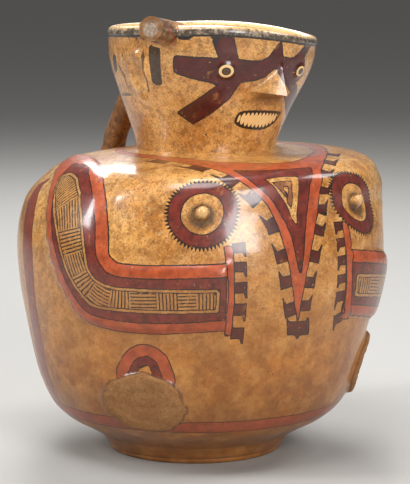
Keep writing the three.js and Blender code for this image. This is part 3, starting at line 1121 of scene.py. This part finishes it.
walked = read("walk_now")
# The ground turns darker and more golden towards the bottom: partly the real staining of the lower
# body, partly painted shade where less light reaches it.
lower_half_top, low_down_top = 115, 62
lower_half = 1 - above(walked, walk_at(lower_half_top), 110)
low_down = 1 - above(walked, walk_at(low_down_top), 50)
ground = gold
for over, share in (
        (cream, patches(38, 5, .6, 0, .47, .2)),
        (pale, patches(26, 4, .6, 3, .58, .2) * .5),
        (stain, patches(22, 9, .75, 5, .55, .12) * .5),
        (stain, patches(5, 8, .8, 9, .53, .1) * .6),
        (pale, patches(3.2, 6, .75, 11, .57, .08) * .35),
        (stain, patches(1.3, 4, .7, 13, .57, .06) * .6),
        (gold, lower_half * .5),
        (amber, lower_half * .5),
        (stain, lower_half * patches(24, 6, .7, 19, .49, .12) * .5),
        (cream, lower_half * patches(15, 5, .65, 33, .55, .12) * .45),
        (stain, low_down * patches(30, 6, .7, 17, .44, .2) * .5)):
    ground = blend(ground, over, share)

orange_paint = blend(deep_orange, orange, patches(7, 5, .6, 2, .46, .3))
maroon_paint = blend(deep_maroon, maroon, patches(6, 5, .6, 4, .45, .3))
mask_paint = blend(deep_mask_red, mask_red, patches(7, 5, .6, 6, .45, .3))
flaked = patches(2.6, 9, .75, 1, .64, .03)
rubbed = patches(14, 7, .7, 8, .64, .1) * .5
held = (1 - flaked) * (1 - rubbed)
line_held = held * patches(3.4, 5, .6, 12, .35, .12)

# Arms, from the outline inward
arm = read("arm")
arm_along_now = read("arm_along")
hand_gap = hand_along - arm_along_now
orange_width, orange_widening, cream_width = 8.3, 16, 2.3
hatch_pitch = 2.3
arm_whole = arm.least(hand_gap + hand_over)
arm_top = 1 - above(arm_along_now, 4, 34)
core = (arm - orange_width - arm_top * orange_widening).least(hand_gap)
sleeve_now = read("sleeve")
hatch = sleeve_now - cream_width


def off_whole(phase):
    """How far a phase is past the nearest whole number, from -.5 to .5"""
    return phase - phase.math("ROUND")


def lines(phase, share=.38):
    """Even lines, one for each whole step of a phase"""
    return above(share / 2 - abs(off_whole(phase)), 0, .08)


crosswise = above(.25 - abs(off_whole(read("panel"))), 0, .02)
across_lines = lines(arm_along_now / hatch_pitch + tremble * .15)
length_lines = lines(read("arm_beside") / hatch_pitch + tremble * .15)
hatching = (across_lines * crosswise + length_lines * (1 - crosswise)) * above(hatch, .3, .1)
hatch_worn = patches(7, 6, .75, 14, .36, .1)


class Coats:
    """The paint so far, with each new colour laid over it"""
    def __init__(self, first):
        self.top = first

    def lay(self, over, share, keep=held):
        self.top = blend(self.top, over, share * keep)

    def outline(self, distance, at=0, half=.42, keep=line_held):
        self.lay(soot, stroke(distance, at, half), keep)


coats = Coats(ground)
coats.lay(orange_paint, within(arm_whole))
coats.lay(maroon_paint, within(core))
coats.lay(blend(ground, dull_buff, .3), within(sleeve_now), 1)
coats.outline(arm_whole)
coats.outline(core)
coats.outline(sleeve_now, 0, .36)
coats.outline(hatch, 0, .36)
coats.lay(soot, hatching, line_held * hatch_worn)

# Collar, the V on the chest and their fringe of blocks
def blocks(out, count, pitch, reach, half_height, spike):
    """Squares that stand on an edge; spike is +1 where their point hangs down, -1 where up"""
    down = off_whole(count) * pitch
    body = (half_height - abs(down)).least(out + .3).least(reach - out)
    toward_tip = down * spike - half_height + .5
    width = 2.6 - toward_tip * .4
    point = (reach - out).least(out - reach + width).least(toward_tip + 1)
    return body.most(point)


fringe_blocks = blocks(
    read("fringe_out"), read("fringe_count"), pitch=19, reach=8.2, half_height=4.1, spike=-1)
finger_blocks = blocks(
    read("finger_out"), read("finger_count"), pitch=15, reach=8.4, half_height=3.8, spike=1)
band, field, window, fret = (read(name) for name in ("band", "field", "window", "fret"))
for blocks_now in (fringe_blocks, finger_blocks, read("foot_block")):
    coats.lay(blend(maroon_paint, soot, .5), within(blocks_now))
    coats.outline(blocks_now, .1, .4)
bar = read("bar")
coats.lay(orange_paint, within(band.most(bar)))
coats.lay(maroon_paint, within(field))
coats.lay(ground, within(window), 1)
coats.lay(maroon_paint, within(fret) * .75)
for area in (band, bar, field):
    coats.outline(area)
coats.outline(window, 0, .34)
coats.outline(fret, 0, .3)

# Breasts: a rayed maroon ring round each nipple
ray_count, ring_outer, ring_inner, ray_length = 58, 22.5, 14, 3.2
breast_across, breast_up = read("breast_across"), read("breast_up")


def reach_of(across, up):
    """How far two steps at a right angle lead"""
    return (across * across + up * up).math("SQRT")


far = reach_of(breast_across, breast_up)
swing = breast_up.math("ARCTAN2", breast_across)
ray = 1 - abs(off_whole(swing * ray_count / (2 * math.pi))) * 2
coats.lay(maroon_paint, within(ring_outer - far) * within(far - ring_inner))
under_ray = above(ring_outer - .3 + ray * ray_length - far, 0, .3)
coats.lay(soot, under_ray * above(far, ring_outer - .6, .3), line_held)
coats.outline(far, ring_inner, .45)
# Painted shade below each nipple, and a painted highlight on its tip
shade_radius, shade_fall = 8.6, 1.6
shade = above(shade_radius - reach_of(breast_across, breast_up + shade_fall), 0, 3)
coats.lay(soot, shade * above(far, nipple_radius - .2, 1.4) * .75, 1)
coats.lay(pale, above(nipple_radius - 1.4 - far, 0, 1.6) * .5, 1)

# Legs, the side bands and the band above the foot
leg = read("leg")
leg_maroon_at, leg_bare_at = 8.2, 13.8
coats.lay(orange_paint, within(leg))
coats.lay(maroon_paint, within(leg, leg_maroon_at))
coats.lay(ground, within(leg, leg_bare_at), 1)
for at in (0, leg_maroon_at, leg_bare_at):
    coats.outline(leg, at, .4)
side = read("side_band")
coats.lay(blend(maroon_paint, orange_paint, .3), within(side))
coats.outline(side, keep=line_held * .6)
foot_band_height, foot_band_half = 34.6, 5.4
foot_line = foot_band_half - abs(walked - walk_at(foot_band_height))
coats.lay(blend(orange_paint, maroon_paint, .3), within(foot_line))
coats.outline(foot_line)

# Face, ears and hair
mask_now = read("mask")
coats.lay(mask_paint, within(mask_now))
coats.outline(mask_now, 0, .5)
coats.lay(blend(stain, soot, .4), read("nose_shade") * .85, 1)
eye_now = read("eye")
for reach, over in ((6.1, soot), (5, pale), (3.1, soot), (2.1, dark_iris), (.9, soot)):
    coats.lay(over, above(reach - eye_now, 0, .3), 1)
mouth_now = read("mouth")
tooth_pitch, tooth_length = 3.3, 2.7
tooth = abs(off_whole(read("mouth_across") / tooth_pitch)) * 2
past_lips = above(1.4 + tooth * tooth * tooth_length - mouth_now, 0, .35)
coats.lay(pale, within(mouth_now), 1)
coats.lay(soot, past_lips * within(mouth_now, -.4), 1)
coats.lay(soot, within(read("hair")) * .93)
coats.lay(soot, within(read("ear_lines"), -1.15) * .8, line_held)

# Worn black on the rim, the bare broken places and the bars
grey_slip = colour(150, 138, 122)
lip_width, low_lip_width = 17, 5.5
on_lip = above(walked, lip_walk - .4, .5) * (1 - above(walked, lip_walk + lip_width, 3))
low_lip = 1 - above(walked, lip_walk + low_lip_width, 3)
coats.lay(blend(pale, grey_slip, low_lip), on_lip * .85, 1)
coats.lay(soot, on_lip * above(grain(4, 9, .8, shift=15) + low_lip * .12, .58, .1) * .85, 1)
# A dark line where the roll meets the wall: partly the edge of the black band, partly painted shade
# under the roll
coats.outline(walked, lip_walk + .2, .7)
bare = read("scar")
crumb_colour = blend(dull_buff, buff, patches(2.2, 6, .75, 20, .5, .3) * .75)
scar_edge = bare + (grain(4, 4, .7, shift=21) - .5) * .3
on_scar = above(scar_edge, .5, .08)
coats.lay(crumb_colour, on_scar, 1)
# A dark line round each scar: partly the crack at the break, partly painted shade along its step
coats.lay(soot, above(.2 - abs(scar_edge - .42), 0, .15) * .6, line_held)
inner = above(walked, rim_walk + 4, 2)
coats.lay(blend(dull_buff, gold, patches(20, 5, .6, 22, .5, .3)), inner, 1)

handle_now, stub_now = read("on_handle"), read("on_stub")
coats.lay(stain, handle_now * patches(9, 8, .75, 24, .38, .2) * .85, 1)
coats.lay(dull_buff, handle_now * patches(6, 8, .75, 23, .5, .15) * .6, 1)
coats.lay(soot, handle_now * patches(5, 8, .8, 25, .53, .12) * .65, 1)
stub_along, stub_across, stub_up = read("stub_along"), read("stub_across"), read("stub_up")
band_pitch = 9
wrapped = (stub_along * .55 + stub_up) / band_pitch + .2
coats.lay(orange_paint, stub_now * lines(wrapped, .42) * above(stub_along, 7, 2) * .4)
coats.lay(stain, stub_now * patches(5, 7, .75, 26, .45, .2) * .6, 1)
broken_end = stub_now * (1 - above(stub_along, 1.8, 1.2))
end_colour = blend(grey_slip, dull_buff, above(reach_of(stub_across, stub_up), 5.2, 2))
coats.lay(end_colour, broken_end, 1)
coats.lay(stain, broken_end * patches(1.6, 6, .8, 27, .52, .12) * .7, 1)

coats.lay(stain, lower_half * patches(11, 7, .72, 36, .44, .2) * .4, 1)
specks = patches(1.7, 3, .6, 30, .685, .02) * patches(30, 3, .5, 31, .36, .2)
coats.lay(soot, specks * .85, 1)
paint_tree.links.new(coats.top.socket, shader.inputs["Base Color"])
gloss = grain(9, 5, .65, shift=40)
dull = on_scar.most(inner).most(broken_end).most(handle_now * .7)
roughness = (.36 + (gloss - .5) * .3).most(.2) + dull * .5
paint_tree.links.new(roughness.socket, shader.inputs["Roughness"])
coat = (1 - dull) * (above(gloss, .35, .5) * .5 + .3) * (1 - lower_half * .5)
paint_tree.links.new(coat.socket, shader.inputs["Coat Weight"])
shader.inputs["Coat Roughness"].default_value = .13
shader.inputs["Specular IOR Level"].default_value = .35
pits = grain(1.1, 4, .6, shift=50) * .35 + grain(5, 4, .6, shift=51) * .8
sandy = grain(1.6, 8, .8, shift=52) * on_scar * 5
bumped = node(
    "ShaderNodeBump", {}, {"Strength": .35, "Distance": .4 * mm, "Height": pits + sandy})
paint_tree.links.new(bumped.socket, shader.inputs["Normal"])
clay.materials.clear()
clay.materials.append(finish)

pick(vase)
bpy.ops.object.shade_smooth_by_angle(angle=math.radians(50))

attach(vase, "root")
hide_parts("vase")

# Floor and light
# A plain pale floor, soft square lamps to the left and right, in front, behind and above,
# and a faint even light all round.
bpy.ops.mesh.primitive_plane_add(size=16, location=(0, 0, 0))
floor = bpy.context.object
floor.name = "studio_floor"
floor_paint = bpy.data.materials.new("studio_paint")
floor_paint.use_nodes = True
floor_shader = floor_paint.node_tree.nodes["Principled BSDF"]
floor_shader.inputs["Base Color"].default_value = (.42, .412, .395, 1)
floor_shader.inputs["Roughness"].default_value = .8
floor.data.materials.append(floor_paint)
world = bpy.context.scene.world or bpy.data.worlds.new("studio")
bpy.context.scene.world = world
world.use_nodes = True
even_light = world.node_tree.nodes["Background"]
even_light.inputs["Color"].default_value = (.8, .79, .77, 1)
even_light.inputs["Strength"].default_value = .2
bpy.context.scene.view_settings.view_transform = "Standard"
lamp_aim = Vector((0, 0, .17))


def add_lamp(name, turned, lifted, away, size, power):
    """A soft lamp that faces the vase, turned to the right of the camera, in degrees"""
    swing = view_turn + math.radians(turned)
    flat = away * math.cos(math.radians(lifted))
    stand = lamp_aim + Vector((
        flat * math.sin(swing), -flat * math.cos(swing), away * math.sin(math.radians(lifted))))
    bpy.ops.object.light_add(type="AREA", location=stand)
    lamp = bpy.context.object
    lamp.name = name
    lamp.data.shape = "RECTANGLE"
    lamp.data.size, lamp.data.size_y = size
    lamp.data.energy = power
    lamp.rotation_euler = (stand - lamp_aim).to_track_quat("Z", "Y").to_euler()


add_lamp("left_lamp", -73, 30, 1.5, (.22, .7), 12)
add_lamp("front_lamp", 27, 18, 2, (.62, 1), 28)
add_lamp("right_lamp", 100, 44, 1.5, (.5, .5), 7)
add_lamp("back_lamp", -175, 54, 1.4, (.45, 1.8), 21)
add_lamp("top_lamp", -20, 66, 1.7, (.8, .8), 17)
